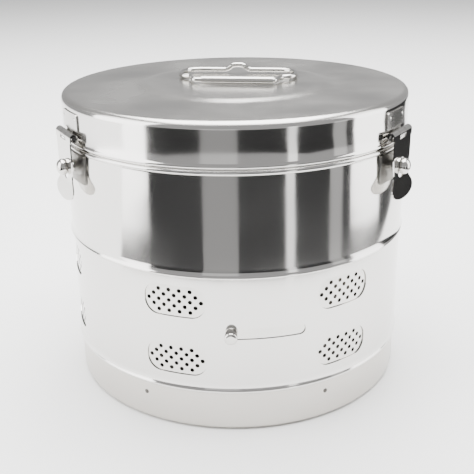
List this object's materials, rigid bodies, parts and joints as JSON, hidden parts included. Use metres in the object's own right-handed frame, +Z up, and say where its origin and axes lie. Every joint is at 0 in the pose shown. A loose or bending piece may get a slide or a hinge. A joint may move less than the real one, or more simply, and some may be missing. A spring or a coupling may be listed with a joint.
{
  "type": "sterilization drum",
  "caption": "Round stainless drum with a lift-off lid, over-centre ball latches, a wire lid handle and a turning perforated shutter behind its vent windows.",
  "frame": {"origin": "centre of the base pan's flat underside, where the drum stands", "axes": "+Z up along the drum's axis, -Y to the front where the shutter's knob is, +X to the right as seen from the front"},
  "size_m": [0.2832, 0.302, 0.2524],
  "materials": {
    "satin_steel": "polished stainless sheet, clear reflections with a soft vertical blur",
    "lid_steel": "satin stainless sheet, fine lapping",
    "perforated_steel": "satin stainless sheet",
    "fittings_steel": "bright polished",
    "keeper_steel": "dark satin"
  },
  "bodies": {
    "drum": {"upper_shell": "satin_steel", "neck_collar": "satin_steel", "window_shell": "satin_steel", "base_pan": "satin_steel", "upper_guides": "perforated_steel", "lower_guides": "perforated_steel", "ball_studs": "fittings_steel", "keeper_plate_right": "keeper_steel", "keeper_plate_left": "keeper_steel", "keeper_plate_rear": "keeper_steel"},
    "lid": {"lid_shell": "lid_steel", "hinge_plates": "lid_steel", "hinge_pins": "fittings_steel", "handle_strap": "lid_steel"},
    "bail": {"lid_bail": "fittings_steel"},
    "shutter": {"shutter_ring": "perforated_steel", "shutter_knob": "fittings_steel", "knob_nut": "fittings_steel"},
    "hasp_right": {"hasp_right": "fittings_steel"},
    "hasp_left": {"hasp_left": "fittings_steel"},
    "hasp_rear": {"hasp_rear": "fittings_steel"}
  },
  "joints": [
    {"name": "lid_lift", "type": "slide", "parent": "drum", "child": "lid", "axis": [0, 0, 1], "range_m": [0, 0.03]},
    {"name": "hasp_right_swing", "type": "hinge", "parent": "lid", "child": "hasp_right", "pos_m": [0.12233, -0.07644, 0.2165], "axis": [-0.5299, -0.848, 0], "range_deg": [0, 150]},
    {"name": "hasp_left_swing", "type": "hinge", "parent": "lid", "child": "hasp_left", "pos_m": [-0.12737, -0.06772, 0.2165], "axis": [-0.4695, 0.8829, 0], "range_deg": [0, 150]},
    {"name": "hasp_rear_swing", "type": "hinge", "parent": "lid", "child": "hasp_rear", "pos_m": [0.00503, 0.14416, 0.2165], "axis": [0.9994, -0.0349, 0], "range_deg": [0, 150]},
    {"name": "bail_swing", "type": "hinge", "parent": "lid", "child": "bail", "pos_m": [0.0021, -0.0151, 0.2459], "axis": [0.9914, -0.1305, 0], "range_deg": [0, 100]},
    {"name": "shutter_turn", "type": "hinge", "parent": "drum", "child": "shutter", "pos_m": [0, 0, 0.08255], "axis": [0, 0, 1], "range_deg": [0, 21.4]}
  ],
  "couplings": [
    {"joint": "hasp_right_swing", "follows": "lid_lift", "rad_per_m": 87.266},
    {"joint": "hasp_left_swing", "follows": "lid_lift", "rad_per_m": 87.266},
    {"joint": "hasp_rear_swing", "follows": "lid_lift", "rad_per_m": 87.266}
  ]
}
